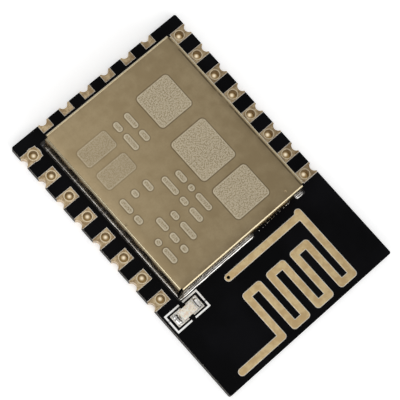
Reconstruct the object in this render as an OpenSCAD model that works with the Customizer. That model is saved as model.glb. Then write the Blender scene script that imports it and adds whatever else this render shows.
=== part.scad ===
// Wifi module: a small circuit board with plated edge pads on three sides, a printed
// meander antenna, an indicator lamp and a folded metal can soldered over the circuit.
// Millimetres, +Z up. The origin is under the middle of the board, at the underside of
// its pads. +Y points to the antenna end, and +X is to the right with the antenna on top.

/* [Board] */
// Width of the board, across the two rows of side pads
board_w = 16; // [15:0.1:18]
// Length of the board, from the pad end to the antenna end
board_l = 24; // [23.4:0.1:27]
// Thickness of the bare laminate
laminate_t = 0.73; // [0.5:0.01:1.6]
// Radius of the board's corners
board_r = 0.15; // [0.05:0.01:0.4]
// Thickness of the copper lands on either face
copper_t = 0.035; // [0.03:0.001:0.07]
// Thickness of the solder mask
mask_t = 0.025; // [0.015:0.001:0.03]
// Bare laminate left between a land and the mask around it
mask_gap = 0.05; // [0.03:0.01:0.08]

/* [Pads] */
// Distance from pad to pad along each row
pad_pitch = 2; // [1.8:0.05:2.1]
// Width of a pad along the board's edge
pad_w = 0.9; // [0.85:0.01:1.2]
// Depth of a side pad, in from the board's edge
side_pad_l = 1.35; // [1.3:0.01:1.45]
// Depth of an end pad, in from the board's edge
end_pad_l = 0.65; // [0.5:0.01:0.8]
// Distance from the pad end of the board to the first side pad
first_pad = 1.45; // [1.3:0.01:1.7]
// Finished radius of the half-hole in a pad's edge
edge_hole_r = 0.36; // [0.25:0.01:0.38]
// How far outside the board's edge the half-hole's centre lies
edge_hole_out = 0.1; // [0:0.01:0.15]
// Finished radius of the round hole in a side pad
pad_hole_r = 0.33; // [0.2:0.01:0.35]
// Distance from the board's edge to the centre of that round hole
pad_hole_in = 0.85; // [0.8:0.01:0.9]
// Thickness of the plating inside a hole
plating_t = 0.035; // [0.02:0.001:0.05]
// Radius of the round land that shows past the sides of the right row's first pad
ring_r = 0.52; // [0.5:0.01:0.56]
// Distance from the board's edge to the middle of that round land
ring_in = 0.92; // [0.85:0.01:0.95]

/* [Antenna] */
// Width of the antenna trace
trace_w = 0.51; // [0.4:0.01:0.55]
// Distance between the two legs of one loop
loop_pitch = 1.12; // [1:0.01:1.2]
// Distance from one loop to the next
loop_step = 1.23; // [1.1:0.01:1.3]
// Distance from the board's middle to the first leg, to the left
first_leg = 4.78; // [4.4:0.01:5.2]
// Distance from the antenna end of the board to the outer bends
antenna_in = 0.76; // [0.6:0.01:1.2]
// Distance from the feed line to the inner bends
bend_gap = 1.87; // [1.3:0.01:2.2]
// Distance from the can's front wall to the feed line
feed_gap = 1.25; // [1:0.01:1.5]
// How far the first leg runs on past the feed line
stub_l = 0.22; // [0:0.01:0.3]
// Distance from the last leg to the open end's centre
tail_l = 3.93; // [2:0.01:4.2]
// Finished radius of the feed hole
feed_hole_r = 0.13; // [0.08:0.01:0.15]
// Distance from the first leg to the feed hole
feed_l = 7.14; // [5:0.01:7.4]

/* [Can] */
// Length of the can
can_l = 15; // [14.6:0.1:15.4]
// Height of the can
can_h = 2.1; // [1.95:0.01:2.6]
// Thickness of the sheet that the can is folded from
can_t = 0.15; // [0.1:0.01:0.2]
// Outer radius of the can's folds
can_bend_r = 0.26; // [0.22:0.01:0.4]
// Side of the square relief at each corner of the can
can_relief = 0.25; // [0.2:0.01:0.4]
// Board left outside the can along each side
can_side = 1.92; // [1.85:0.01:2.2]
// Board left outside the can at the pad end
can_end = 1.25; // [1.15:0.01:1.4]
// Land that shows outside the can's front wall
front_land = 0.25; // [0.18:0.01:0.35]
// Land that shows outside the can's other walls
side_land = 0.12; // [0.08:0.01:0.15]
// Land hidden inside the can's walls
inner_land = 0.15; // [0.1:0.01:0.25]
// Length of the long stretch of front land, from the right corner
front_run_l = 7.35; // [6:0.05:7.6]
// Length of the short stretch of front land, from the left corner
front_tab_l = 0.85; // [0.5:0.05:1.5]
// Radius at the corners of the can's land
can_land_r = 0.12; // [0.05:0.01:0.15]
// Thinnest solder at a fillet's toe
solder_film = 0.02; // [0.01:0.005:0.04]

/* [Lamp] */
// Distance from the board's right edge to the lamp's middle
lamp_in = 1.73; // [1.7:0.01:2]
// Distance from the can's front wall to the lamp's middle
lamp_gap = 1.13; // [1.05:0.01:1.5]
// Length of the lamp
lamp_l = 1.6; // [1.4:0.01:1.8]
// Width of the lamp
lamp_w = 0.8; // [0.7:0.01:0.9]
// Thickness of the lamp's base
lamp_base_t = 0.28; // [0.2:0.01:0.35]
// Thickness of the lamp's clear cap
lamp_cap_t = 0.3; // [0.2:0.01:0.5]
// How far each end of the clear cap leans in
lamp_cap_lean = 0.08; // [0:0.01:0.12]
// Length of metal at each end of the lamp
lamp_end_l = 0.12; // [0.1:0.01:0.2]
// Radius of the half-round recess in each end of the lamp
lamp_recess_r = 0.2; // [0.1:0.01:0.22]
// Length of each lamp land
lamp_land_l = 0.9; // [0.7:0.01:1]
// Distance between the two lamp lands
lamp_land_gap = 0.54; // [0.4:0.01:0.7]
// Width of a lamp land
lamp_land_w = 0.95; // [0.9:0.01:1]
// Length of the printed frame round the lamp
frame_l = 3.12; // [3:0.01:3.3]
// Width of the printed frame round the lamp
frame_w = 1.6; // [1.5:0.01:1.7]
// Width of the printed line
line_w = 0.14; // [0.1:0.01:0.18]
// Gap in the middle of the frame's long sides
frame_gap = 0.34; // [0.2:0.01:0.6]
// Thickness of the print
print_t = 0.012; // [0.008:0.001:0.02]

/* [Circuit under the can] */
// Side of the square processor
chip_side = 5; // [4:0.1:5.5]
// Thickness of the processor
chip_t = 0.85; // [0.7:0.01:1]
// Distance between the processor's contacts
chip_pitch = 0.5; // [0.4:0.01:0.52]
// Contacts along each side of the processor
chip_contacts = 8; // [4:1:9]
// Width of a contact of the processor
contact_w = 0.24; // [0.15:0.01:0.3]
// Length of a contact of the processor
contact_l = 0.4; // [0.3:0.01:0.5]
// Thickness of a contact of the processor
contact_t = 0.05; // [0.03:0.01:0.1]
// Distance from the processor's side to its large middle contact
middle_contact_in = 0.8; // [0.6:0.01:1]
// Length of the memory's body, along its rows of leads
memory_l = 4.9; // [4.7:0.1:5.1]
// Width of the memory's body
memory_w = 3.9; // [3.7:0.1:4.1]
// Thickness of the memory's body
memory_t = 1.4; // [1.2:0.01:1.5]
// Gap under the memory's body
memory_lift = 0.12; // [0.05:0.01:0.2]
// Distance between the memory's leads
lead_pitch = 1.27; // [1:0.01:1.3]
// Width of a lead
lead_w = 0.42; // [0.35:0.01:0.5]
// Thickness of a lead
lead_t = 0.2; // [0.15:0.01:0.25]
// How far the leads reach out from the memory's body
lead_reach = 1.05; // [0.9:0.01:1.2]
// Length of the crystal
crystal_l = 3.2; // [3:0.1:3.4]
// Width of the crystal
crystal_w = 2.5; // [2.3:0.1:2.7]
// Thickness of the crystal's ceramic base
crystal_base_t = 0.5; // [0.4:0.01:0.6]
// Thickness of the crystal's metal lid
crystal_lid_t = 0.2; // [0.1:0.01:0.3]
// Ceramic left around the crystal's lid
crystal_lid_in = 0.15; // [0.1:0.01:0.2]
// Radius of the corners of the crystal's lid
crystal_lid_r = 0.3; // [0.1:0.01:0.4]
// Length of each of the crystal's four lands
crystal_land_l = 1; // [0.8:0.01:1.2]
// Width of each of the crystal's four lands
crystal_land_w = 0.8; // [0.6:0.01:0.9]
// Length of a small resistor or capacitor
chip_part_l = 1; // [0.9:0.01:1.1]
// Width of a small resistor or capacitor
chip_part_w = 0.5; // [0.45:0.01:0.55]
// Length of the metal on each end of a small part
chip_part_end = 0.25; // [0.15:0.01:0.3]
// Thickness of a capacitor
capacitor_t = 0.5; // [0.45:0.01:0.6]
// Thickness of a resistor
resistor_t = 0.35; // [0.3:0.01:0.4]
// How much longer a land is than the contact on it
land_toe = 0.15; // [0.1:0.01:0.2]

/* [Hidden] */
$fn = 48;
cut = 0.5;                     // how far a cutting shape runs past what it cuts

side_count = 8;                // pads along each side
end_count = 6;                 // pads along the end
ring_pad = side_count + end_count + 1;      // number of the pad that has the round land

laminate_z = copper_t;                      // underside of the laminate
face_z = laminate_z + laminate_t;           // upper face of the laminate
land_z = face_z + copper_t;                 // upper face of the lands
mask_z = face_z + mask_t;                   // upper face of the mask

can_w = board_w - 2 * can_side;
can_back_y = -board_l / 2 + can_end;        // outer face of the can's rear wall
can_front_y = can_back_y + can_l;           // outer face of the can's front wall
can_mid_y = can_back_y + can_l / 2;

feed_y = can_front_y + feed_gap;            // centre line of the antenna's feed
outer_bend_y = board_l / 2 - antenna_in;    // centre line of the antenna's outer bends
inner_bend_y = feed_y + bend_gap;           // centre line of the antenna's inner bends
loops = 3;
last_leg_x = leg_x(2 * loops);
feed_x = feed_l - first_leg;

lamp_x = board_w / 2 - lamp_in;
lamp_y = can_front_y + lamp_gap;

middle_contact_side = chip_side - 2 * middle_contact_in;
lead_foot = lead_reach / 2;                 // flat length at the end of a lead

// Places of the parts under the can, from its middle, as shares of its width and length
processor_at = [-0.19, 0.24];
memory_at = [0.03, -0.233];
crystal_at = [0.263, 0.287];
// Small parts: [x, y, turned]
capacitor_at = [
    [0.107, 0.427, 0], [-0.444, 0.413, 1], [-0.444, 0.293, 1], [-0.444, 0.173, 1],
    [-0.444, 0.053, 1], [-0.296, 0.02, 0], [-0.148, 0.02, 0], [0.099, 0.147, 1],
    [0.263, 0.12, 0], [0.419, 0.12, 0], [-0.378, -0.107, 1], [0.428, -0.133, 1]
];
resistor_at = [
    [0, 0.02, 0], [0.164, 0.02, 0], [0.329, 0.02, 0], [-0.378, -0.24, 1], [-0.378, -0.373, 1],
    [0.428, -0.267, 1]
];
inductor_at = [[0.23, 0.44, 0], [0.444, 0.427, 1]];

function pad_name(i) = str("pad_", i < 10 ? "0" : "", i);
function leg_x(k) = -first_leg + ceil(k / 2) * loop_pitch + floor(k / 2) * loop_step;

// ---- shared shapes ----

// A flat rectangle with round corners, centred
module round_rect(w, l, r) {
    square([w - 2 * r, l], center = true);
    square([w, l - 2 * r], center = true);
    for (sx = [-1, 1], sy = [-1, 1]) translate([sx * (w / 2 - r), sy * (l / 2 - r)]) circle(r);
}

// Puts its children at pad i, with the board's edge on the local Y axis and the board on -X
module at_pad(i) {
    first_y = -board_l / 2 + first_pad;
    if (i <= side_count)
        translate([-board_w / 2, first_y + (side_count - i) * pad_pitch, 0]) rotate(180) children();
    else if (i <= side_count + end_count)
        translate([(i - side_count - (end_count + 1) / 2) * pad_pitch, -board_l / 2, 0])
            rotate(-90) children();
    else
        translate([board_w / 2, first_y + (i - side_count - end_count - 1) * pad_pitch, 0]) children();
}

function is_side(i) = i <= side_count || i > side_count + end_count;

// Outline of one pad's land, with a margin on its three inner sides
module pad_outline(i, margin = 0) {
    depth = (is_side(i) ? side_pad_l : end_pad_l) + margin;
    if (i == ring_pad) translate([-ring_in, 0]) circle(ring_r + margin);
    translate([-depth, -pad_w / 2 - margin]) square([depth + (margin > 0 ? cut : 0), pad_w + 2 * margin]);
}

// The holes of one pad, each bigger than its finished size by margin
module pad_holes(i, margin = 0) {
    translate([edge_hole_out, 0, -cut]) cylinder(r = edge_hole_r + margin, h = land_z + 2 * cut);
    if (is_side(i))
        translate([-pad_hole_in, 0, -cut]) cylinder(r = pad_hole_r + margin, h = land_z + 2 * cut);
}

// Centre line of the antenna, drawn w wide with round joints
module antenna_outline(w) {
    // One straight run, with a round end on each of its corners
    module run(a, b) {
        low = [min(a[0], b[0]), min(a[1], b[1])];
        size = [abs(a[0] - b[0]), abs(a[1] - b[1])];
        if (size[0] > 0) translate([low[0], a[1] - w / 2]) square([size[0], w]);
        if (size[1] > 0) translate([a[0] - w / 2, low[1]]) square([w, size[1]]);
        translate(a) circle(w / 2);
        translate(b) circle(w / 2);
    }
    run([feed_x, feed_y], [leg_x(0), feed_y]);
    run([leg_x(0), feed_y - stub_l], [leg_x(0), outer_bend_y]);
    for (k = [0 : 2 : 2 * loops - 2]) {
        run([leg_x(k), outer_bend_y], [leg_x(k + 1), outer_bend_y]);
        run([leg_x(k + 1), inner_bend_y], [leg_x(k + 2), inner_bend_y]);
    }
    for (k = [1 : 2 * loops]) run([leg_x(k), inner_bend_y], [leg_x(k), outer_bend_y]);
    run([last_leg_x, outer_bend_y], [last_leg_x + tail_l, outer_bend_y]);
}

// The closed strip of copper that the can stands on, and its two wider stretches in front
module can_land_outline(margin = 0) {
    out = side_land + margin;
    w = can_w + 2 * out;
    r = can_land_r + margin;
    difference() {
        union() {
            translate([0, can_mid_y - out / 2]) round_rect(w, can_l + out, r);
            translate([w / 2 - front_run_l - margin, can_front_y - cut])
                square([front_run_l + margin - r, front_land + margin + cut]);
            translate([w / 2 - r - cut, can_front_y - cut])
                square([r + cut, front_land + margin + cut - r]);
            translate([w / 2 - r, can_front_y + front_land + margin - r]) circle(r);
            translate([-w / 2 + r, can_front_y - cut])
                square([front_tab_l + margin - r, front_land + margin + cut]);
            translate([-w / 2, can_front_y - cut])
                square([r + cut, front_land + margin + cut - r]);
            translate([-w / 2 + r, can_front_y + front_land + margin - r]) circle(r);
        }
        translate([0, can_mid_y])
            square([can_w - 2 * (can_t + inner_land + margin), can_l - 2 * (can_t + inner_land + margin)],
                   center = true);
    }
}

module lamp_land_outline(margin = 0) {
    for (s = [-1, 1]) translate([lamp_x + s * (lamp_land_gap + lamp_land_l) / 2, lamp_y])
        square([lamp_land_l + 2 * margin, lamp_land_w + 2 * margin], center = true);
}

// Puts its children at a place under the can
module under_can(place) {
    translate([place[0] * can_w, can_mid_y + place[1] * can_l, 0]) children();
}

// Puts its children at each place of a list, turned a quarter where the list says so
module at_each(places) {
    for (p = places) under_can(p) rotate(p[2] * 90) children();
}

// Puts its children at each contact round the processor, pointing outwards
module at_contacts() {
    under_can(processor_at) for (side = [0 : 3], i = [0 : chip_contacts - 1])
        rotate(side * 90) translate([chip_side / 2, (i - (chip_contacts - 1) / 2) * chip_pitch])
            children();
}

// Puts its children at the foot of each lead of the memory, pointing outwards
module at_leads() {
    under_can(memory_at) for (side = [0, 1], i = [0 : 3])
        rotate(side * 180) translate([(i - 1.5) * lead_pitch, memory_w / 2]) children();
}

// Lands under everything that sits inside the can
module part_land_outline(margin = 0) {
    grow = 2 * margin;
    under_can(processor_at)
        square([middle_contact_side + grow, middle_contact_side + grow], center = true);
    at_contacts() translate([-contact_l - margin, -contact_w / 2 - margin])
        square([contact_l + land_toe + grow, contact_w + grow]);
    at_leads() translate([-lead_w / 2 - margin, lead_reach - lead_foot - margin])
        square([lead_w + grow, lead_foot + land_toe + grow]);
    under_can(crystal_at) for (sx = [-1, 1], sy = [-1, 1])
        translate([sx * (crystal_l - crystal_land_l) / 2, sy * (crystal_w - crystal_land_w) / 2])
            square([crystal_land_l + grow, crystal_land_w + grow], center = true);
    at_each(concat(capacitor_at, resistor_at, inductor_at))
        for (s = [-1, 1]) translate([s * (chip_part_l - chip_part_end) / 2, 0])
            square([chip_part_end + land_toe + grow, chip_part_w + grow], center = true);
}

// A concave fillet of solder along +X, against a wall at y = 0, with square ends
module fillet(length, r) {
    rotate([90, 0, 90]) linear_extrude(length) difference() {
        square([r, r]);
        translate([r, r]) circle(r - solder_film);
    }
}

// ---- board ----

module board_outline() {
    round_rect(board_w, board_l, board_r);
}

module drilled(margin) {
    difference() {
        children();
        for (i = [1 : 2 * side_count + end_count]) at_pad(i) pad_holes(i, margin);
    }
}

module laminate() color("#8f8a6a") drilled(plating_t) difference() {
    translate([0, 0, laminate_z]) linear_extrude(laminate_t) board_outline();
    translate([feed_x, feed_y, 0]) cylinder(r = feed_hole_r + plating_t, h = land_z + cut);
}

module mask_top() color("#101014") translate([0, 0, face_z]) linear_extrude(mask_t) difference() {
    board_outline();
    for (i = [1 : 2 * side_count + end_count]) at_pad(i) pad_outline(i, mask_gap);
    antenna_outline(trace_w + 2 * mask_gap);
    can_land_outline(mask_gap);
    lamp_land_outline(mask_gap);
    part_land_outline(mask_gap);
}

module mask_bottom() color("#101014") translate([0, 0, laminate_z - mask_t]) linear_extrude(mask_t)
    difference() {
        board_outline();
        for (i = [1 : 2 * side_count + end_count]) at_pad(i) pad_outline(i, mask_gap);
    }

// One plated pad: a land on each face, joined by the plating in its holes
module pad(i) color("#c8aa64") at_pad(i) difference() {
    union() {
        for (z = [0, face_z]) translate([0, 0, z]) linear_extrude(copper_t) pad_outline(i);
        intersection() {
            pad_holes(i, plating_t);
            translate([-side_pad_l, -pad_w / 2, 0]) cube([side_pad_l, pad_w, land_z]);
        }
    }
    pad_holes(i);
}

module antenna_trace() color("#c8aa64") difference() {
    union() {
        translate([0, 0, face_z]) linear_extrude(copper_t) antenna_outline(trace_w);
        translate([feed_x, feed_y, laminate_z]) cylinder(r = feed_hole_r + plating_t, h = laminate_t);
    }
    translate([feed_x, feed_y, 0]) cylinder(r = feed_hole_r, h = land_z + cut);
}

// ---- can ----

module can_land() color("#c8aa64")
    translate([0, 0, face_z]) linear_extrude(copper_t) can_land_outline();

// An upright rectangle standing on y = 0, with its two upper corners rounded
module round_top(w, h, r) {
    translate([-w / 2, 0]) square([w, h - r]);
    translate([-w / 2 + r, 0]) square([w - 2 * r, h]);
    for (s = [-1, 1]) translate([s * (w / 2 - r), h - r]) circle(r);
}

// Sheet folded down along two sides, w across the folds and l along them
module folded_sheet(w, l) {
    translate([0, l / 2, 0]) rotate([90, 0, 0]) linear_extrude(l) difference() {
        round_top(w, can_h, can_bend_r);
        translate([0, -cut]) round_top(w - 2 * can_t, can_h - can_t + cut, can_bend_r - can_t);
    }
}

module shield_can() color("#8f8266") translate([0, can_mid_y, land_z]) {
    folded_sheet(can_w, can_l - 2 * can_relief);
    rotate(90) folded_sheet(can_l, can_w - 2 * can_relief);
}

// Fillets in front of the can: a long run to the right corner and a tab at the left one
module solder_front() color("#c9c9c6") {
    right_x = can_w / 2 + side_land - can_land_r;
    run_l = front_run_l - 2 * can_land_r;
    tab_l = front_tab_l - 2 * can_land_r;
    for (run = [[right_x - run_l, run_l], [-right_x, tab_l]])
        translate([run[0], can_front_y, land_z]) fillet(run[1], front_land);
}

module solder_side(side) color("#b8b8b4") {
    l = can_l - 2 * can_relief;
    translate([side * can_w / 2, can_mid_y - side * -l / 2, land_z])
        rotate(-side * 90) fillet(l, side_land);
}

module solder_left() solder_side(-1);

module solder_right() solder_side(1);

module solder_rear() color("#b8b8b4") {
    l = can_w - 2 * can_relief;
    translate([l / 2, can_back_y, land_z]) rotate(180) fillet(l, side_land);
}

// ---- lamp ----

module lamp_frame_print() color("#f4f4f2") translate([lamp_x, lamp_y, mask_z]) linear_extrude(print_t)
    difference() {
        square([frame_l, frame_w], center = true);
        square([frame_l - 2 * line_w, frame_w - 2 * line_w], center = true);
        square([frame_gap, frame_w + cut], center = true);
    }

module lamp_lands() color("#c8aa64")
    translate([0, 0, face_z]) linear_extrude(copper_t) lamp_land_outline();

// The lamp's base has a half-round recess in each end
module lamp_recesses(r) {
    for (s = [-1, 1]) translate([s * lamp_l / 2, 0, -cut]) cylinder(r = r, h = lamp_base_t + 2 * cut);
}

module lamp_base() color("#e6e2d2") translate([lamp_x, lamp_y, land_z]) difference() {
    translate([-lamp_l / 2 + lamp_end_l, -lamp_w / 2, 0])
        cube([lamp_l - 2 * lamp_end_l, lamp_w, lamp_base_t]);
    lamp_recesses(lamp_recess_r + plating_t);
}

module lamp_ends() color("#d8d8d4") translate([lamp_x, lamp_y, land_z]) difference() {
    union() {
        for (s = [-1, 1]) translate([s * (lamp_l - lamp_end_l) / 2, 0, lamp_base_t / 2])
            cube([lamp_end_l, lamp_w, lamp_base_t], center = true);
        intersection() {
            lamp_recesses(lamp_recess_r + plating_t);
            translate([0, 0, lamp_base_t / 2]) cube([lamp_l, lamp_w, lamp_base_t], center = true);
        }
    }
    lamp_recesses(lamp_recess_r);
}

// The clear cap narrows a little towards its top
module lamp_cap() color("#e8e0d0") {
    l = lamp_l - 2 * lamp_end_l;
    translate([lamp_x, lamp_y + lamp_w / 2, land_z + lamp_base_t]) rotate([90, 0, 0])
        linear_extrude(lamp_w) polygon([
            [-l / 2, 0], [l / 2, 0], [l / 2 - lamp_cap_lean, lamp_cap_t],
            [-l / 2 + lamp_cap_lean, lamp_cap_t]
        ]);
}

// Solder from the outer part of each lamp land up the lamp's end
module lamp_solder() color("#cfcfcb") {
    r = min(lamp_base_t, (lamp_land_gap - lamp_l) / 2 + lamp_land_l);
    for (s = [-1, 1]) translate([lamp_x + s * lamp_l / 2, lamp_y + s * lamp_w / 2, land_z])
        rotate(-s * 90) fillet(lamp_w, r);
}

// ---- circuit under the can ----

module part_lands() color("#c8aa64")
    translate([0, 0, face_z]) linear_extrude(copper_t) part_land_outline();

module processor() color("#26262a") under_can(processor_at)
    translate([0, 0, land_z + contact_t + chip_t / 2])
        cube([chip_side, chip_side, chip_t], center = true);

module processor_contacts() color("#c9c9c6") translate([0, 0, land_z]) linear_extrude(contact_t) {
    at_contacts() translate([-contact_l, -contact_w / 2]) square([contact_l, contact_w]);
    under_can(processor_at) square(middle_contact_side, center = true);
}

module memory_body() color("#222226") under_can(memory_at)
    translate([0, 0, land_z + memory_lift + memory_t / 2])
        cube([memory_l, memory_w, memory_t], center = true);

// Each lead leaves the body at half its height, steps down and ends in a flat foot
module memory_leads() color("#c9c9c6") at_leads() {
    top = memory_lift + memory_t / 2;
    step = lead_reach - lead_foot;
    translate([-lead_w / 2, 0, land_z]) rotate([90, 0, 90]) linear_extrude(lead_w) polygon([
        [0, top - lead_t], [step - lead_t, top - lead_t], [step - lead_t, 0], [lead_reach, 0],
        [lead_reach, lead_t], [step, lead_t], [step, top], [0, top]
    ]);
}

module crystal_base() color("#6b6459") under_can(crystal_at)
    translate([0, 0, land_z + crystal_base_t / 2])
        cube([crystal_l, crystal_w, crystal_base_t], center = true);

module crystal_lid() color("#c4bda6") under_can(crystal_at)
    translate([0, 0, land_z + crystal_base_t]) linear_extrude(crystal_lid_t)
        round_rect(crystal_l - 2 * crystal_lid_in, crystal_w - 2 * crystal_lid_in, crystal_lid_r);

// Middle of a small part, and its two metal ends
module chip_middle(t) {
    translate([0, 0, land_z + t / 2])
        cube([chip_part_l - 2 * chip_part_end, chip_part_w, t], center = true);
}

module chip_ends(t) {
    for (s = [-1, 1]) translate([s * (chip_part_l - chip_part_end) / 2, 0, land_z + t / 2])
        cube([chip_part_end, chip_part_w, t], center = true);
}

module capacitor_bodies() color("#b08f5c") at_each(capacitor_at) chip_middle(capacitor_t);

module capacitor_ends() color("#c9c9c6") at_each(capacitor_at) chip_ends(capacitor_t);

module resistor_bodies() color("#1d1d20") at_each(resistor_at) chip_middle(resistor_t);

module resistor_ends() color("#c9c9c6") at_each(resistor_at) chip_ends(resistor_t);

module inductors() color("#7d8794") at_each(inductor_at)
    translate([0, 0, land_z + capacitor_t / 2]) cube([chip_part_l, chip_part_w, capacitor_t], center = true);

// ---- output ----

laminate();
mask_top();
mask_bottom();
for (i = [1 : 2 * side_count + end_count]) pad(i);
antenna_trace();
can_land();
shield_can();
solder_front();
solder_left();
solder_right();
solder_rear();
lamp_frame_print();
lamp_lands();
lamp_base();
lamp_ends();
lamp_cap();
lamp_solder();
part_lands();
processor();
processor_contacts();
memory_body();
memory_leads();
crystal_base();
crystal_lid();
capacitor_bodies();
capacitor_ends();
resistor_bodies();
resistor_ends();
inductors();
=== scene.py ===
import math

import bmesh
import bpy
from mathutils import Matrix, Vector, noise


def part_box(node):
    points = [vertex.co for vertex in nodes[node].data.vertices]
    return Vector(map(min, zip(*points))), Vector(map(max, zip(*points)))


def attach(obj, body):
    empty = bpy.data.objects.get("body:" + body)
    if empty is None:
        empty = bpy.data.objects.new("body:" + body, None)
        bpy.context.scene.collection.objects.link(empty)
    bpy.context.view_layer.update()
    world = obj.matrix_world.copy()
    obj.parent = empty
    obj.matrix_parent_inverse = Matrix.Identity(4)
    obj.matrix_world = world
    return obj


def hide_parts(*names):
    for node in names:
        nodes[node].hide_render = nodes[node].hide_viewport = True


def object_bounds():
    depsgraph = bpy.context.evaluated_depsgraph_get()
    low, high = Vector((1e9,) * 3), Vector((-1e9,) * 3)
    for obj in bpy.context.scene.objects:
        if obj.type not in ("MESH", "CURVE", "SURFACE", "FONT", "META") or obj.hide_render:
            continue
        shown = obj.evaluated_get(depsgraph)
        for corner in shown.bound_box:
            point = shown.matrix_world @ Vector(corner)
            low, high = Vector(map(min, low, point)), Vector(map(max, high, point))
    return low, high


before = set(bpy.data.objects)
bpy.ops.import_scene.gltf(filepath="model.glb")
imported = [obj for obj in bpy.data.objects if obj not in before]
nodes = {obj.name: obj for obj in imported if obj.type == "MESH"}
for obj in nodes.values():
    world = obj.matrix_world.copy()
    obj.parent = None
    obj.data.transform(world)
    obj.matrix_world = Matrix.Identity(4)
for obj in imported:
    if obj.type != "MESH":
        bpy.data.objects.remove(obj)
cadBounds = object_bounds()
mm = 0.001
print("frame loaded,", len(nodes), "nodes")


# shader helpers

def addNode(tree, kind, settings=None, inputs=None):  # settings come first, then values or links by socket
    made = tree.nodes.new(kind)
    for key, value in (settings or {}).items():
        setattr(made, key, value)
    for key, value in (inputs or {}).items():
        socket = made.inputs[key]
        if isinstance(value, Field):
            value = value.socket
        if isinstance(value, bpy.types.NodeSocket):
            tree.links.new(value, socket)
        elif socket.type == "RGBA" and len(value) == 3:
            socket.default_value = (*value, 1)
        else:
            socket.default_value = value
    return made


class Field:
    # a number that changes over a surface, with Python's own operators
    def __init__(self, look, socket):
        self.look = look
        self.socket = socket

    def math(self, operation, *values):
        made = self.look.node("ShaderNodeMath", {"operation": operation}, dict(enumerate(values)))
        return Field(self.look, made.outputs[0])

    def __add__(self, other):
        return self.math("ADD", self, other)

    __radd__ = __add__

    def __sub__(self, other):
        return self.math("SUBTRACT", self, other)

    def __rsub__(self, other):
        return self.math("SUBTRACT", other, self)

    def __mul__(self, other):
        return self.math("MULTIPLY", self, other)

    __rmul__ = __mul__

    def __truediv__(self, other):
        return self.math("DIVIDE", self, other)

    def __abs__(self):
        return self.math("ABSOLUTE", self)

    def least(self, other):
        return self.math("MINIMUM", self, other)

    def most(self, other):
        return self.math("MAXIMUM", self, other)

    def root(self):
        return self.math("SQRT", self)

    def pastWhole(self):
        return self.math("FRACT", self)

    def rise(self, low, high):  # 0 below low, 1 above high, smooth between
        made = self.look.node("ShaderNodeMapRange", {"interpolation_type": "SMOOTHSTEP"},
                              {"Value": self, "From Min": low, "From Max": high})
        return Field(self.look, made.outputs[0])

    def fall(self, low, high):
        return 1 - self.rise(low, high)


class Look:
    # one material, its shader and the place on the part in millimetres
    def __init__(self, name, kind="ShaderNodeBsdfPrincipled", **constants):
        self.material = bpy.data.materials.new(name)
        self.material.use_nodes = True
        self.tree = self.material.node_tree
        self.tree.nodes.clear()
        self.shader = self.node(kind, inputs=constants)
        self.output = self.node("ShaderNodeOutputMaterial", inputs={"Surface": self.shader.outputs[0]})
        place = self.node("ShaderNodeTexCoord").outputs["Object"]
        self.place = self.node("ShaderNodeVectorMath", {"operation": "SCALE"},
                               {0: place, "Scale": 1 / mm}).outputs[0]
        parts = self.node("ShaderNodeSeparateXYZ", inputs={0: self.place}).outputs
        self.x, self.y, self.z = [Field(self, part) for part in parts]

    def node(self, kind, settings=None, inputs=None):
        return addNode(self.tree, kind, settings, inputs)

    def grain(self, size, detail=2.0, stretch=(1, 1, 1), shift=0.0):  # noise with lumps of about size mm
        place = self.node("ShaderNodeMapping", inputs={
            "Vector": self.place, "Location": (shift,) * 3,
            "Scale": [share / size for share in stretch]}).outputs[0]
        made = self.node("ShaderNodeTexNoise", inputs={"Vector": place, "Scale": 1.0, "Detail": detail})
        return Field(self, made.outputs[0])

    def specks(self, spacing, radius, share):  # a few round dots, at random places
        made = self.node("ShaderNodeTexVoronoi", {"feature": "F1"},
                         {"Vector": self.place, "Scale": 1 / spacing})
        chosen = self.node("ShaderNodeSeparateColor", inputs={0: made.outputs["Color"]}).outputs
        size = Field(self, chosen[1]) * 0.7 + 0.3
        near = (Field(self, made.outputs["Distance"]) * spacing / (size * radius)).fall(0.6, 1)
        return near * Field(self, chosen[0]).fall(share, share + 0.01)

    def blend(self, factor, low, high):  # a colour between two colours
        made = self.node("ShaderNodeMix", {"data_type": "RGBA"}, {"Factor": factor, "A": low, "B": high})
        return made.outputs["Result"]

    def feed(self, **sockets):  # what changes over the surface, by the shader's socket names
        for key, value in sockets.items():
            if isinstance(value, Field):
                value = value.socket
            self.tree.links.new(value, self.shader.inputs[key.replace("_", " ")])

    def relief(self, height, depth, strength=1.0):  # height of 1 stands depth mm above 0
        made = self.node("ShaderNodeBump", inputs={"Height": height, "Distance": depth * mm,
                                                   "Strength": strength})
        self.feed(Normal=made.outputs[0])


def finish(piece, look):
    piece.data.materials.clear()
    piece.data.materials.append(look.material)


def roundBlock(x, y, middle, size, radius):  # distance in mm outside a flat block with round corners
    outX = (abs(x - middle[0]) - (size[0] / 2 - radius)).most(0)
    outY = (abs(y - middle[1]) - (size[1] / 2 - radius)).most(0)
    return (outX * outX + outY * outY).root() - radius


padHoles = dict(rowX=7.15, firstY=-10.55, pitch=2.0, radius=0.33)


def holeDistance(look, p, asideX=0.0, asideY=0.0):  # distance in mm from the middle of the nearest pad hole
    alongRow = (((look.y - p["firstY"] - asideY) / p["pitch"] + 0.5).pastWhole() - 0.5) * p["pitch"]
    acrossRow = abs(look.x - asideX) - p["rowX"]
    return (acrossRow * acrossRow + alongRow * alongRow).root()


# mesh helpers

def newPiece(name, mesh):
    piece = bpy.data.objects.new(name, mesh)
    bpy.context.scene.collection.objects.link(piece)
    return piece


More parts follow.
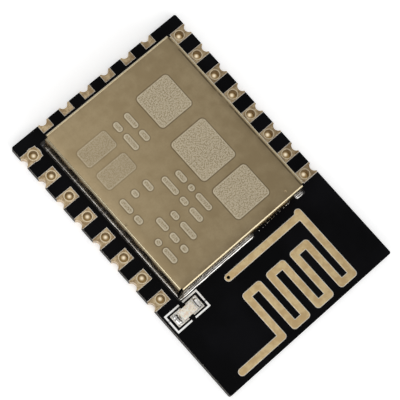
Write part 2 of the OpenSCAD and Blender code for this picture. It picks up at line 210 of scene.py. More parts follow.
def meshFrom(name, bm, sharpAngle=40):
    bmesh.ops.remove_doubles(bm, verts=bm.verts, dist=1e-7)
    bmesh.ops.recalc_face_normals(bm, faces=bm.faces)
    for face in bm.faces:
        face.smooth = True
    for edge in bm.edges:
        if len(edge.link_faces) == 2 and edge.calc_face_angle(0) > math.radians(sharpAngle):
            edge.smooth = False
    mesh = bpy.data.meshes.new(name)
    bm.to_mesh(mesh)
    bm.free()
    return mesh


def settled(piece):  # the piece's modifiers turned into its own mesh
    view = bpy.context.evaluated_depsgraph_get()
    view.update()
    made = bpy.data.meshes.new_from_object(piece.evaluated_get(view))
    piece.modifiers.clear()
    piece.data = made
    return piece


# laminate: heights and places in mm; canFoot is the middle and the size of the strip round the can
laminate = dict(rim=(0.97, 0.92, 0.82), edge=(0.014, 0.011, 0.008), fibre=(0.050, 0.038, 0.026),
                topZ=0.755, topStep=0.008, canFoot=((0.0, -3.2), (12.9, 15.9)), canFootRadius=0.3,
                darkening=(0.020, 0.018, 0.016), layer=0.09)


def laminateLook(p):
    look = Look("laminateGlass", Roughness=0.7)
    layers = look.grain(p["layer"], 3, (0.15, 0.15, 1))  # glass layers show as lines round the edge
    side = look.blend(layers.rise(0.45, 0.65), p["edge"], p["fibre"])
    shadeNearCan = roundBlock(look.x, look.y, *p["canFoot"], p["canFootRadius"]).fall(0, 0.02)
    top = look.blend(shadeNearCan, p["rim"], p["darkening"])  # painted shade darkens it near the can
    look.feed(Base_Color=look.blend(look.z.rise(p["topZ"], p["topZ"] + p["topStep"]), side, top))
    look.relief(layers, 0.01, 0.5)
    return look


finish(nodes["laminate"], laminateLook(laminate))


# solder mask

mask = dict(ink=(0.0018, 0.0018, 0.0022), inkPale=(0.0036, 0.0036, 0.0046), roughness=0.42, weave=0.5,
            dust=(0.10, 0.10, 0.10), dustSpacing=0.9, dustRadius=0.05, dustShare=0.25)


def maskLook(p):
    look = Look("blackMask", **{"Specular IOR Level": 0.05})
    cloud = look.grain(3.0, 3)
    fine = look.grain(0.12, 2)
    ink = look.blend(cloud.rise(0.35, 0.7), p["ink"], p["inkPale"])
    dust = look.specks(p["dustSpacing"], p["dustRadius"], p["dustShare"])
    look.feed(Base_Color=look.blend(dust, ink, p["dust"]),
              Roughness=cloud * 0.15 + dust * 0.3 + (p["roughness"] - 0.07))
    weaveX = look.grain(p["weave"], 0, (1, 0.15, 1))
    weaveY = look.grain(p["weave"], 0, (0.15, 1, 1), 7)
    look.relief((weaveX + weaveY) * 0.3 + fine * 0.25 + dust, 0.004, 0.7)
    return look


blackMask = maskLook(mask)
for name in ("mask_top", "mask_bottom"):
    finish(nodes[name], blackMask)
print("board done")


# gold lands: inside is how far from the board's middle the plating of whole holes reaches
padGold = dict(bright=(0.68, 0.525, 0.315), dull=(0.36, 0.25, 0.135), barrelShade=(0.24, 0.155, 0.055),
               roughness=0.30, patch=0.35, darkening=0.75, holeRimHighlight=(1.0, 0.86, 0.62), holeRimHighlightAway=0.05,
               holeRimHighlightShare=0.65, topZ=0.79, inside=(7.55, 11.55))
traceGold = dict(padGold, bright=(1.0, 0.78, 0.43), dull=(0.84, 0.60, 0.30), barrelShade=(0.10, 0.06, 0.03),
                 roughness=0.34, patch=0.5, darkening=0.3)


def goldLook(name, p):
    look = Look(name, Metallic=1.0)
    patch = look.grain(p["patch"], 3)
    fine = look.grain(0.06, 2)
    stain = look.grain(0.22, 2, shift=5)
    colour = look.blend(patch.rise(0.35, 0.65), p["dull"], p["bright"])
    colour = look.blend(stain.rise(0.52, 0.70) * p["darkening"], colour, p["dull"])
    colour = look.blend(fine.rise(0.45, 0.75) * 0.45, colour, p["dull"])
    # painted highlight: a pale ring round each pad hole
    holeRimHighlight = abs(holeDistance(look, padHoles) - padHoles["radius"] - p["holeRimHighlightAway"]).fall(0.02, 0.05)
    colour = look.blend(holeRimHighlight * p["holeRimHighlightShare"], colour, p["holeRimHighlight"])
    insideX, insideY = p["inside"]
    inner = abs(look.x).fall(insideX, insideX + 0.05) * abs(look.y).fall(insideY, insideY + 0.05)
    holeDullAndShaded = look.z.fall(p["topZ"] - 0.06, p["topZ"]) * inner  # plating inside the holes is rougher, and painted darker as shade
    look.feed(Base_Color=look.blend(holeDullAndShaded, colour, p["barrelShade"]),
              Roughness=patch * 0.12 + stain * 0.12 + holeDullAndShaded * 0.15 + (p["roughness"] - 0.12))
    look.relief(fine + patch * 0.5, 0.003, 0.6)
    return look


# copper under solder and flux, bright only here and there; share is how much is dark, lump in mm
fluxedLand = dict(dark=(0.035, 0.032, 0.030), bright=(0.30, 0.31, 0.35), share=0.58, lump=0.006)
tinnedLand = dict(dark=(0.70, 0.66, 0.58), bright=(0.95, 0.93, 0.88), share=0.30, lump=0.02)


def tinnedLook(name, p):
    look = Look(name, Metallic=1.0)
    patch = look.grain(0.4, 3)
    look.feed(Base_Color=look.blend(patch.rise(p["share"], p["share"] + 0.12), p["dark"], p["bright"]),
              Roughness=patch * 0.2 + 0.1)
    look.relief(look.grain(0.16, 1), p["lump"], 1.0)
    return look


padPlating = goldLook("padPlating", padGold)
for name in nodes:
    if name.startswith("pad_") or name == "part_lands":
        finish(nodes[name], padPlating)
finish(nodes["antenna_trace"], goldLook("tracePlating", traceGold))
finish(nodes["can_land"], tinnedLook("fluxedLand", fluxedLand))
finish(nodes["lamp_lands"], tinnedLook("tinnedLand", tinnedLand))
print("gold done")


# shield can

# line is the colour of painted shade; rim and the bend's colour are painted highlights
can = dict(bendR=0.26, sheet=0.15, arcSteps=8, alongSteps=24,
           metal=(0.47, 0.365, 0.215), metalDark=(0.39, 0.295, 0.165), frost=(0.74, 0.65, 0.48),
           line=(0.12, 0.09, 0.05), rim=(0.84, 0.75, 0.56), bendHighlight=(0.60, 0.53, 0.37),
           roughness=0.31, frostRoughness=0.5, bendRoughness=0.23,
           topZ=2.86, shadeZ=2.79, wallZ=2.62, shadeLineX=-5.78,
           barWidth=0.44, barGap=0.35, barRadius=0.2)

# etched places on the can's top: middle, size, corner radius, all in mm
fieldBlocks = [((-2.1, -2.55), (3.2, 3.7), 0.3), ((-2.1, 1.55), (3.2, 2.9), 0.3),
               ((-2.35, -7.1), (3.0, 3.0), 0.3)]
faintBlocks = [((3.75, -7.55), (2.7, 1.5), 0.25), ((3.75, -5.4), (2.7, 1.5), 0.25)]
barRows = [(0.45, -8.2, (1.3, 0.9)), (1.5, -8.2, (0.8, 1.4)), (0.45, -2.6, (1.0, 0.5, 1.5)),
           (1.5, -2.9, (1.6, 0.7, 1.2)), (2.7, -3.6, (0.9,)), (2.7, -0.6, (0.7, 1.5)),
           (3.8, -3.6, (0.6,)), (3.8, -0.9, (1.1, 0.8, 0.6)), (4.9, -3.6, (1.2, 0.7)), (4.9, 0.2, (0.5, 1.3))]
pinDents = [((-4.55, 3.6), 0.13), ((5.8, -2.0), 0.13)]


def canMesh(p):
    low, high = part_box("shield_can")
    low, high = Vector(low), Vector(high)
    bendR, sheet = p["bendR"] * mm, p["sheet"] * mm
    bm = bmesh.new()

    def strip(rows):
        made = [[bm.verts.new(point) for point in row] for row in rows]
        for a, b in zip(made, made[1:]):
            for i in range(len(a) - 1):
                bm.faces.new((a[i], a[i + 1], b[i + 1], b[i]))

    def spread(a, b, count):
        return [a + (b - a) * i / count for i in range(count + 1)]

    xs = spread(low.x + bendR, high.x - bendR, p["alongSteps"])
    ys = spread(low.y + bendR, high.y - bendR, p["alongSteps"])
    strip([[Vector((x, y, high.z)) for x in xs] for y in ys])
    section = []  # how far out and how far down the fold and the wall go
    for i in range(p["arcSteps"] + 1):
        turn = math.pi / 2 * i / p["arcSteps"]
        section.append((bendR * math.sin(turn), bendR * (1 - math.cos(turn))))
    drop = high.z - low.z
    section += [(bendR, bendR + (drop - bendR) * share) for share in (0.1, 0.5, 0.9, 1)]
    for side in (-1, 1):
        edgeX = high.x - bendR if side > 0 else low.x + bendR
        edgeY = high.y - bendR if side > 0 else low.y + bendR
        strip([[Vector((edgeX + side * out, y, high.z - down)) for y in ys] for out, down in section])
        strip([[Vector((x, edgeY + side * out, high.z - down)) for x in xs] for out, down in section])
    mesh = meshFrom("shieldCan", bm)
    piece = newPiece("shieldCan", mesh)
    if sum(face.normal.z * face.area for face in mesh.polygons) < 0:
        mesh.flip_normals()
    solid = piece.modifiers.new("sheet", "SOLIDIFY")
    solid.thickness = sheet
    solid.offset = -1
    solid.use_even_offset = True
    settled(piece)
    bm = bmesh.new()
    bm.from_mesh(piece.data)
    piece.data = meshFrom("shieldCan", bm)
    return piece


def canLook(p):
    look = Look("nickelSilver", Metallic=1.0)
    x, y = look.x, look.y
    onTop = look.z.rise(p["topZ"], p["topZ"] + 0.03)
    atBend = look.z.rise(p["wallZ"], p["wallZ"] + 0.06) * (1 - onTop)
    wide = look.grain(4.5, 3)
    mottle = look.grain(0.9, 4, shift=3)
    rolled = look.grain(0.35, 3, (1, 0.12, 1))
    fine = look.grain(0.055, 2)

    def etched(blocks):
        nearest = None
        for middle, size, radius in blocks:
            away = roundBlock(x, y, middle, size, radius)
            nearest = away if nearest is None else nearest.least(away)
        return nearest

    strong = etched(fieldBlocks)
    faint = etched(faintBlocks)
    dashes = []
    for rowX, rowY, lengths in barRows:
        for length in lengths:
            dashes.append(((rowX, rowY + length / 2), (p["barWidth"], length), p["barRadius"]))
            rowY += length + p["barGap"]
    bars = etched(dashes)
    inStrong = strong.fall(-0.03, 0.02) * onTop
    inFaint = faint.fall(-0.03, 0.02) * onTop
    inBars = bars.fall(-0.03, 0.02) * onTop
    # painted shade round the etched marks; the bump sinks it too
    outline = (abs(strong - 0.05).fall(0.02, 0.06) + abs(faint - 0.05).fall(0.02, 0.06) * 0.5
               + abs(bars - 0.05).fall(0.02, 0.06) * 0.8) * onTop
    # painted highlight just inside the edges of the etched marks
    rim = (abs(strong + 0.04).fall(0.02, 0.06) * 0.6 + abs(faint + 0.04).fall(0.02, 0.06) * 0.4
           + abs(bars + 0.04).fall(0.02, 0.07)) * onTop
    frosted = (inStrong * 0.9 + inFaint * 0.45 + inBars * 0.75).least(1)
    metal = look.blend((wide * 0.5 + mottle * 0.5).rise(0.38, 0.62), p["metalDark"], p["metal"])
    metal = look.blend(rolled.rise(0.5, 0.8) * 0.25, metal, p["metalDark"])
    metal = look.blend(look.grain(0.14, 2, shift=4).rise(0.45, 0.7) * 0.35, metal, p["metalDark"])
    # painted highlight: the bend is paler than the rest of the can
    metal = look.blend(atBend * 0.8, metal, p["bendHighlight"])
    shadeBelowBend = atBend * look.z.fall(p["shadeZ"], p["shadeZ"] + 0.03)  # painted shade below the bend
    patchy = look.grain(0.5, 3, (1, 0.4, 1)).rise(0.35, 0.5)
    sideShadeLine = abs(x - p["shadeLineX"]).fall(0.03, 0.08) * patchy * onTop  # painted shade: a dark line beside one fold
    colour = look.blend(frosted * (look.grain(0.10, 2).rise(0.40, 0.56) * 0.8 + 0.2), metal, p["frost"])
    colour = look.blend(rim * 0.7, colour, p["rim"])
    # painted shade round the marks, beside one fold and below the bend
    paintedShade = (outline * 0.5).most(sideShadeLine * 0.8).most(shadeBelowBend * 0.8)
    look.feed(Base_Color=look.blend(paintedShade, colour, p["line"]),
              Roughness=mottle * 0.10 + rolled * 0.05 + frosted * (p["frostRoughness"] - p["roughness"])
              + onTop * (p["roughness"] - p["bendRoughness"]) + (p["bendRoughness"] - 0.08))
    dents = None
    for middle, radius in pinDents:
        near = roundBlock(x, y, middle, (2 * radius, 2 * radius), radius).fall(-radius, 0)
        dents = near if dents is None else dents + near
    look.relief((fine * 0.10 + mottle * 0.5 + rolled * 0.15) * (onTop * 0.85 + 0.15)
                + frosted * look.grain(0.08, 1) * 0.8 - outline * 0.5 - dents * onTop * 6, 0.006, 0.8)
    return look


shieldCan = canMesh(can)
nickelSilver = canLook(can)
finish(shieldCan, nickelSilver)
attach(shieldCan, "root")
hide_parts("shield_can")
finish(nodes["shield_can"], nickelSilver)
print("can done")


# solder: groove and foot are in mm from the can's front: painted shade lies dark in both, in the crease colour
# section goes by share of the reach from the toe and share of the climb: a sloping bead, a groove, the rise
solder = dict(crease=(0.03, 0.025, 0.02), bright=(0.88, 0.87, 0.84), grey=(0.62, 0.60, 0.57),
              roughness=0.13, step=0.10, wave=0.16, ripple=0.03, groove=0.11, foot=0.01,
              section=((0, 0), (0.03, 0.03), (0.14, 0.09), (0.24, 0.145), (0.29, 0.16), (0.34, 0.15),
                       (0.44, 0.11), (0.48, 0.11), (0.54, 0.145), (0.62, 0.20), (0.72, 0.30),
                       (0.84, 0.45), (0.94, 0.70), (1, 1)))
thinJoint = dict(solder, wave=0.55, ripple=0.20)
lampJoint = dict(solder, wave=0.45, ripple=0.55,
                 section=((0, 0), (0.04, 0.10), (0.2, 0.30), (0.4, 0.46), (0.6, 0.60), (0.8, 0.76),
                          (0.9, 0.86), (1, 1)))

lampBase, lampEnds, lampLands = [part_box(name) for name in ("lamp_base", "lamp_ends", "lamp_lands")]
lampMiddle = [(lampBase[0][axis] + lampBase[1][axis]) / 2 / mm for axis in (0, 1)]
lampHalf = (lampEnds[1][0] - lampEnds[0][0]) / 2 / mm
lampShadeBand = dict(wobble=0.12, past=0.02, half=(0.035, 0.075), reach=(0.30, 0.36))


def lampCreaseShade(look, p=lampShadeBand):  # painted shade, dark in the crease at each end of the lamp
    wobble = (look.grain(0.25, 2, shift=9) - 0.5) * p["wobble"]
    awayX = abs(look.x - lampMiddle[0]) - lampHalf - p["past"] + wobble
    awayY = abs(look.y - lampMiddle[1])
    return abs(awayX).fall(*p["half"]) * awayY.fall(*p["reach"])


def solderLook(p):
    look = Look("solderMetal", Metallic=1.0)
    patch = look.grain(0.5, 1)
    beyond = look.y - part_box("shield_can")[1][1] / mm
    fromCan = beyond + (look.grain(0.6, 1, shift=6) - 0.5) * 0.05
    # painted shade: dark in the groove and at the foot of the can's wall
    groove = abs(fromCan - p["groove"]).fall(0.01, 0.035) * look.grain(0.7, 1, shift=8).rise(0.32, 0.42)
    foot = fromCan.fall(p["foot"], p["foot"] + 0.02) * beyond.rise(-0.02, 0)
    colour = look.blend(patch.rise(0.35, 0.65), p["grey"], p["bright"])
    # the lamp's creases, the groove and the foot take painted shade
    look.feed(Base_Color=look.blend(lampCreaseShade(look).most(groove).most(foot), colour, p["crease"]),
              Roughness=patch * 0.2 + p["roughness"])
    look.relief(patch, 0.005, 0.4)
    return look


solderMetal = solderLook(solder)


def addSolderRun(bm, start, end, out, reach, climb, seed, p, fullness=1.0):
    # a lumpy run from start to end against a wall, growing towards out
    start, end, out = Vector(start), Vector(end), Vector(out)
    along = end - start
    count = max(12, int(along.length / (p["step"] * mm)))
    rings = []
    for i in range(count + 1):
        share = i / count
        place = start + along * share
        fromEnd = min(share, 1 - share) * along.length
        closing = math.sqrt(max(0.0, 1 - (1 - min(1.0, fromEnd / (reach * 0.6))) ** 2)) * 0.96 + 0.04
        wave = noise.noise(place / (1.1 * mm) + Vector((seed, seed, 0)))
        ripple = noise.noise(place / (0.30 * mm) + Vector((0, seed, 3)))
        grow = min(1.0, max(0.12, fullness * (0.92 + p["wave"] * wave + p["ripple"] * ripple)))
        foot = reach * grow * closing
        top = climb * min(1.0, grow * (1 + p["ripple"] * ripple)) * closing
        ring = [place]
        for shareIn, shareUp in p["section"]:
            ring.append(place + out * foot * (1 - shareIn) + Vector((0, 0, top * shareUp)))
        rings.append([bm.verts.new(point) for point in ring])
    for a, b in zip(rings, rings[1:]):
        for k in range(len(a)):
            bm.faces.new((a[k], a[(k + 1) % len(a)], b[(k + 1) % len(b)], b[k]))
    bm.faces.new(rings[0])
    bm.faces.new(list(reversed(rings[-1])))


def solderPiece(name, runs, replaced):
    bm = bmesh.new()
    for run in runs:
        addSolderRun(bm, *run)
    piece = newPiece(name, meshFrom(name, bm, 60))
    finish(piece, solderMetal)
    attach(piece, "root")
    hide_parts(replaced)


canLow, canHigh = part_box("shield_can")
landZ = canLow[2]
left, right, back, front = canLow[0], canHigh[0], canLow[1], canHigh[1]
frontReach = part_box("solder_front")[1][1] - front
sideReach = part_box("solder_right")[1][0] - right

# in mm along the can's front; climb is a share of the reach, fullness of the land that is covered
canJoint = dict(pastCorner=0.10, longRun=7.25, longClimb=0.9, tabRun=0.72, tabPast=0.05, tabClimb=0.7,
                inset=0.3, cornerInset=0.05, fullness=0.5, rightFullness=0.38)


def canSolder(p):
    inset = p["inset"] * mm

    def atFront(x):
        return (x, front, landZ)

    solderPiece("solderFront", [
        (atFront(right + p["pastCorner"] * mm), atFront(right - p["longRun"] * mm), (0, 1, 0),
         frontReach, frontReach * p["longClimb"], 2, solder),
        (atFront(left + p["tabRun"] * mm), atFront(left - p["tabPast"] * mm), (0, 1, 0),
         frontReach, frontReach * p["tabClimb"], 5, solder),
    ], "solder_front")
    solderPiece("solderLeft", [((left, back + inset, landZ), (left, front - inset, landZ), (-1, 0, 0),
                                sideReach, sideReach, 7, thinJoint, p["fullness"])], "solder_left")
    solderPiece("solderRight", [((right, front - p["cornerInset"] * mm, landZ), (right, back + inset, landZ),
                                 (1, 0, 0), sideReach, sideReach, 9, thinJoint, p["rightFullness"])],
                "solder_right")
    solderPiece("solderRear", [((left + inset, back, landZ), (right - inset, back, landZ), (0, -1, 0),
                                sideReach, sideReach, 11, thinJoint, p["fullness"])], "solder_rear")


lampSolder = dict(reach=0.92, climb=0.6, halfWidth=0.46)


def lampSolderPiece(p):
    runs = []
    for side, edge, toe in ((-1, lampEnds[0][0], lampLands[0][0]), (1, lampEnds[1][0], lampLands[1][0])):
        reach = abs(toe - edge) * p["reach"]
        start, end = [(edge, (lampMiddle[1] + turn * side * p["halfWidth"]) * mm, landZ) for turn in (-1, 1)]
        runs.append((start, end, (side, 0, 0), reach, reach * p["climb"], 13 + side, lampJoint))
    solderPiece("lampSolder", runs, "lamp_solder")


canSolder(canJoint)
lampSolderPiece(lampSolder)
for name in ("solder_front", "solder_left", "solder_right", "solder_rear", "lamp_solder"):
    finish(nodes[name], solderMetal)
print("solder done")


# stray solder beads, scattered by Geometry Nodes

beads = dict(count=26, smallest=0.018, largest=0.045, spread=0.10, seed=4, run=3.6, fromLeft=0.95,
             fromCan=0.04, sunk=0.005, flat=0.6)


def beadTree():
    tree = bpy.data.node_groups.new("scatterBeads", "GeometryNodeTree")
    face = tree.interface
    for label, kind, value in (
            ("Length", "NodeSocketFloat", 0.004), ("Spread", "NodeSocketFloat", 0.0001),
            ("Smallest", "NodeSocketFloat", 0.00002), ("Largest", "NodeSocketFloat", 0.00004),
            ("Count", "NodeSocketInt", 20), ("Seed", "NodeSocketInt", 1), ("Metal", "NodeSocketMaterial", None)):
        socket = face.new_socket(name=label, in_out="INPUT", socket_type=kind)
        if value is not None:
            socket.default_value = value
    face.new_socket(name="Geometry", in_out="OUTPUT", socket_type="NodeSocketGeometry")

    def add(kind, settings=None, inputs=None):
        return addNode(tree, kind, settings, inputs)

    given = add("NodeGroupInput").outputs
    line = add("GeometryNodeCurvePrimitiveLine", {"mode": "DIRECTION"},
               {"Start": (0, 0, 0), "Direction": (1, 0, 0), "Length": given["Length"]})
    points = add("GeometryNodeCurveToPoints", {"mode": "COUNT"},
                 {"Curve": line.outputs[0], "Count": given["Count"]})
    along = add("FunctionNodeRandomValue", {"data_type": "FLOAT"},
                {"Min": 0.0, "Max": given["Length"], "Seed": given["Seed"]})
    across = add("FunctionNodeRandomValue", {"data_type": "FLOAT"},
                 {"Min": 0.0, "Max": given["Spread"], "Seed": given["Seed"]})
    where = add("ShaderNodeCombineXYZ", None, {"X": along.outputs[1], "Y": across.outputs[1]})
    moved = add("GeometryNodeSetPosition", None,
                {"Geometry": points.outputs[0], "Position": where.outputs[0]})
    ball = add("GeometryNodeMeshIcoSphere", None, {"Radius": 1.0, "Subdivisions": 2})
    size = add("FunctionNodeRandomValue", {"data_type": "FLOAT"},
               {"Min": given["Smallest"], "Max": given["Largest"], "Seed": given["Seed"]})
    placed = add("GeometryNodeInstanceOnPoints", None,
                 {"Points": moved.outputs[0], "Instance": ball.outputs[0], "Scale": size.outputs[1]})
    real = add("GeometryNodeRealizeInstances", None, {"Geometry": placed.outputs[0]})
    smooth = add("GeometryNodeSetShadeSmooth", None, {"Geometry": real.outputs[0]})
    painted = add("GeometryNodeSetMaterial", None,
                  {"Geometry": smooth.outputs[0], "Material": given["Metal"]})
    add("NodeGroupOutput", None, {"Geometry": painted.outputs[0]})
    return tree


def beadPiece(name, p):
    piece = newPiece(name, bpy.data.meshes.new(name))
    tree = beadTree()
    scatter = piece.modifiers.new("scatter", "NODES")
    scatter.node_group = tree
    wanted = {"Length": p["run"] * mm, "Spread": p["spread"] * mm, "Smallest": p["smallest"] * mm,
              "Largest": p["largest"] * mm, "Count": p["count"], "Seed": p["seed"],
              "Metal": solderMetal.material}
    for item in tree.interface.items_tree:
        if item.item_type == "SOCKET" and item.in_out == "INPUT":
            scatter[item.identifier] = wanted[item.name]
    settled(piece)
    corner = Vector((left + p["fromLeft"] * mm, front + p["fromCan"] * mm, landZ - p["sunk"] * mm))
    for vertex in piece.data.vertices:  # onto the board, flattened a little
        vertex.co.z = vertex.co.z * p["flat"]
        vertex.co += corner
    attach(piece, "root")


beadPiece("solderBeads", beads)
print("beads done")


# lamp

lamp = dict(cap=(0.84, 0.72, 0.58), capPale=(0.95, 0.90, 0.80), capSpeck=(0.45, 0.30, 0.22),
            base=(0.72, 0.68, 0.58), bevel=0.05, lean=0.08, tin=(0.93, 0.90, 0.84),
            tinDull=(0.72, 0.68, 0.60), crease=solder["crease"])


def capLook(p):
    look = Look("lampResin", Roughness=0.22, **{
        "Subsurface Weight": 0.3, "Subsurface Radius": (0.0004, 0.0003, 0.0002), "Subsurface Scale": 1.0})
    cloud = look.grain(0.2, 3)
    speck = look.grain(0.07, 1, shift=2).rise(0.62, 0.72) * 0.5
    resin = look.blend(cloud.rise(0.35, 0.65), p["cap"], p["capPale"])
    look.feed(Base_Color=look.blend(speck, resin, p["capSpeck"]))
    look.relief(look.grain(0.15, 2), 0.02, 0.5)
    return look


def tinLook(p):
    look = Look("tinPlate", Metallic=1.0)
    patch = look.grain(0.2, 3)
    tin = look.blend(patch.rise(0.35, 0.65), p["tinDull"], p["tin"])
    # the tin takes painted shade in the crease at each end of the lamp
    look.feed(Base_Color=look.blend(lampCreaseShade(look), tin, p["crease"]), Roughness=patch * 0.2 + 0.25)
    look.relief(look.grain(0.06, 2), 0.004, 0.6)
    return look


def lampBaseLook(p):
    look = Look("lampLaminate", Roughness=0.6)
    darker = [0.8 * part for part in p["base"]]
    look.feed(Base_Color=look.blend(look.grain(0.15, 2).rise(0.3, 0.7), darker, p["base"]))
    look.relief(look.grain(0.08, 2), 0.004, 0.5)
    return look


def lampCapMesh(p):
    low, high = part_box("lamp_cap")
    low, high = Vector(low), Vector(high)
    lean = p["lean"] * mm
    bm = bmesh.new()
    corners = []
    for z, pull in ((low.z, 0), (high.z, lean)):
        endA, endB = low.x + pull, high.x - pull
        corners.append([bm.verts.new(point) for point in (
            (endA, low.y, z), (endB, low.y, z), (endB, high.y, z), (endA, high.y, z))])
    bm.faces.new(corners[1])
    bm.faces.new(list(reversed(corners[0])))
    for i in range(4):
        j = (i + 1) % 4
        bm.faces.new((corners[0][i], corners[0][j], corners[1][j], corners[1][i]))
    upper = [edge for edge in bm.edges if edge.verts[0].co.z + edge.verts[1].co.z > low.z + high.z - 1e-6]
    bmesh.ops.bevel(bm, geom=upper, offset=p["bevel"] * mm, segments=4, profile=0.5, affect="EDGES")
    return newPiece("lampLens", meshFrom("lampLens", bm, 50))


lens = lampCapMesh(lamp)
lampResin = capLook(lamp)
finish(lens, lampResin)
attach(lens, "root")
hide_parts("lamp_cap")
tinPlate = tinLook(lamp)
for name in ("lamp_ends", "processor_contacts", "memory_leads", "capacitor_ends", "resistor_ends"):
    finish(nodes[name], tinPlate)
finish(nodes["lamp_base"], lampBaseLook(lamp))
finish(nodes["lamp_cap"], lampResin)

# worn holds thin places in the ink: middle, size and how thin
framePrint = dict(white=(0.98, 0.98, 0.96), thin=(0.28, 0.28, 0.28),
                  worn=(((4.78, 5.64), (0.3, 0.12), 1.0), ((7.75, 5.08), (0.3, 0.16), 0.6)))


def printLook(p):
    look = Look("whiteInk", Roughness=0.55)
    thin = look.grain(0.3, 2).rise(0.66, 0.76) * 0.2
    for middle, size, share in p["worn"]:
        thin = thin.most(roundBlock(look.x, look.y, middle, size, 0.05).fall(-0.03, 0.03) * share)
    look.feed(Base_Color=look.blend(thin, p["white"], p["thin"]))
    look.relief(look.grain(0.06, 2), 0.004, 0.5)
    return look


finish(nodes["lamp_frame_print"], printLook(framePrint))
print("lamp done")


# parts under the can

def ceramicLook(name, colour, roughness, size, metallic=0.0):
    look = Look(name, Metallic=metallic)
    patch = look.grain(size, 3)
    look.feed(Base_Color=look.blend(patch.rise(0.3, 0.7), [0.7 * part for part in colour], colour),
              Roughness=patch * 0.15 + (roughness - 0.07))
    look.relief(look.grain(size / 6, 2), 0.004, 0.6)
    return look


# for each node: its look's name, colour, roughness, size of its mottle in mm and how metallic it is
underCan = {
    "processor": ("mouldedResin", (0.030, 0.030, 0.032), 0.6, 0.3),
    "memory_body": ("memoryResin", (0.028, 0.028, 0.030), 0.55, 0.3),
    "crystal_base": ("darkCeramic", (0.13, 0.11, 0.09), 0.5, 0.4),
    "crystal_lid": ("crystalLid", (0.66, 0.62, 0.50), 0.3, 0.5, 1.0),
    "capacitor_bodies": ("tanCeramic", (0.46, 0.32, 0.19), 0.5, 0.2),
    "resistor_bodies": ("blackGlaze", (0.025, 0.025, 0.028), 0.3, 0.2),
    "inductors": ("greyCeramic", (0.28, 0.32, 0.38), 0.45, 0.2),
}
for name, facts in underCan.items():
    finish(nodes[name], ceramicLook(*facts))
print("inner parts done")


# floor, light and camera

# lengths of the studio in metres, the painted light in the pad holes in mm
# boxes are the lamps: place, width, height and level
studio = dict(floorSize=4.0, floorDrop=0.00002, floor=(0.86, 0.86, 0.86), glow=0.40, world=0.30,
              shadeInset=0.4, paintedShadeUnderModule=(0.45, 0.32, 0.18), spotAside=(-0.12, -0.09), spot=(0.0, 0.23),
              paintedSpotGlow=0.90, paintedSpotMiddle=(1.0, 0.87, 0.64), paintedSpotEdge=(0.18, 0.115, 0.04),
              boxes=[((0.30, 0.10, 0.20), 0.30, 0.20, 2.2), ((-0.32, 0.0, 0.20), 0.30, 0.20, 0.7),
                     ((0.0, 0.34, 0.20), 0.30, 0.20, 2.2), ((0.0, -0.34, 0.20), 0.30, 0.20, 1.3),
                     ((0.04, -0.10, 0.42), 0.28, 0.24, 0.75), ((0.08, 0.24, 0.33), 0.26, 0.16, 1.7)],
              cameraPlace=(0.026159, 0.011118, 0.114286), cameraTurn=(12.7273, -5.9860, 138.1366),
              lens=144.04, sensor=36, nearest=0.005, farthest=20)


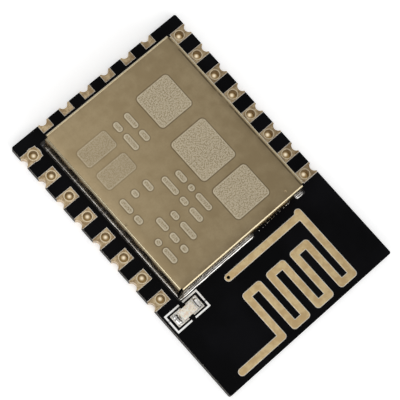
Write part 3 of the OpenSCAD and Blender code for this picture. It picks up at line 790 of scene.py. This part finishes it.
def studioFloor(p):
    bm = bmesh.new()
    bmesh.ops.create_grid(bm, x_segments=8, y_segments=8, size=p["floorSize"] / 2)
    bmesh.ops.translate(bm, verts=bm.verts, vec=(0, 0, cadBounds[0][2] - p["floorDrop"]))
    mesh = bpy.data.meshes.new("floor")
    bm.to_mesh(mesh)
    bm.free()
    floor = newPiece("floor", mesh)
    look = Look("floorPaper", "ShaderNodeBsdfDiffuse", Color=p["floor"])
    path = look.node("ShaderNodeLightPath").outputs
    seen = Field(look, path["Is Camera Ray"]).most(Field(look, path["Is Glossy Ray"])).most(
        Field(look, path["Is Transmission Ray"]))
    edgeX, edgeY = [reach / mm - p["shadeInset"] for reach in cadBounds[1][:2]]
    clear = (abs(look.x) - edgeX).rise(0, 0.01).most((abs(look.y) - edgeY).rise(0, 0.01))
    below = look.node("ShaderNodeNewGeometry").outputs["Backfacing"]
    clear = clear.most(Field(look, below))  # the floor is plain from below
    # painted shade: under the module the floor is darker and warm, as if lit off the gold
    look.feed(Color=look.blend(clear, p["paintedShadeUnderModule"], p["floor"]))
    paintedHoleLight = holeDistance(look, padHoles, *p["spotAside"]).fall(*p["spot"])  # painted light through the holes
    spot = look.blend(paintedHoleLight, p["paintedSpotEdge"], p["paintedSpotMiddle"])
    # under the module the floor glows with the painted light of the holes, elsewhere evenly white
    glow = look.node("ShaderNodeEmission", inputs={
        "Color": look.blend(clear, spot, (1, 1, 1)),
        "Strength": seen * (clear * (p["glow"] - p["paintedSpotGlow"]) + p["paintedSpotGlow"])})
    both = look.node("ShaderNodeAddShader", inputs={0: look.shader.outputs[0], 1: glow.outputs[0]})
    look.tree.links.new(both.outputs[0], look.output.inputs["Surface"])
    floor.data.materials.append(look.material)


def studioWorld(p):  # white to the camera, a plain level of light to the rest
    world = bpy.data.worlds.new("softRoom")
    bpy.context.scene.world = world
    world.use_nodes = True
    tree = world.node_tree
    tree.nodes.clear()
    path = addNode(tree, "ShaderNodeLightPath")
    strength = addNode(tree, "ShaderNodeMapRange", None, {
        "Value": path.outputs["Is Camera Ray"], "To Min": p["world"], "To Max": 1.0})
    air = addNode(tree, "ShaderNodeBackground", None, {"Color": (1, 1, 1), "Strength": strength.outputs[0]})
    addNode(tree, "ShaderNodeOutputWorld", None, {"Surface": air.outputs[0]})


def studioLights(p):
    for number, (place, width, height, level) in enumerate(p["boxes"]):
        data = bpy.data.lights.new("softBox%d" % number, "AREA")
        data.shape = "RECTANGLE"
        data.size = width
        data.size_y = height
        data.energy = level * math.pi * width * height
        light = bpy.data.objects.new("softBox%d" % number, data)
        light.location = place
        light.rotation_euler = (-Vector(place)).to_track_quat("-Z", "Y").to_euler()
        bpy.context.scene.collection.objects.link(light)


def studioCamera(p):
    data = bpy.data.cameras.new("camera")
    data.lens = p["lens"]
    data.sensor_width = p["sensor"]
    data.clip_start = p["nearest"]
    data.clip_end = p["farthest"]
    camera = bpy.data.objects.new("camera", data)
    camera.location = p["cameraPlace"]
    camera.rotation_euler = [math.radians(turn) for turn in p["cameraTurn"]]
    bpy.context.scene.collection.objects.link(camera)
    bpy.context.scene.camera = camera


studioFloor(studio)
studioWorld(studio)
studioLights(studio)
studioCamera(studio)
bpy.context.scene.view_settings.view_transform = "Standard"
print("studio done")
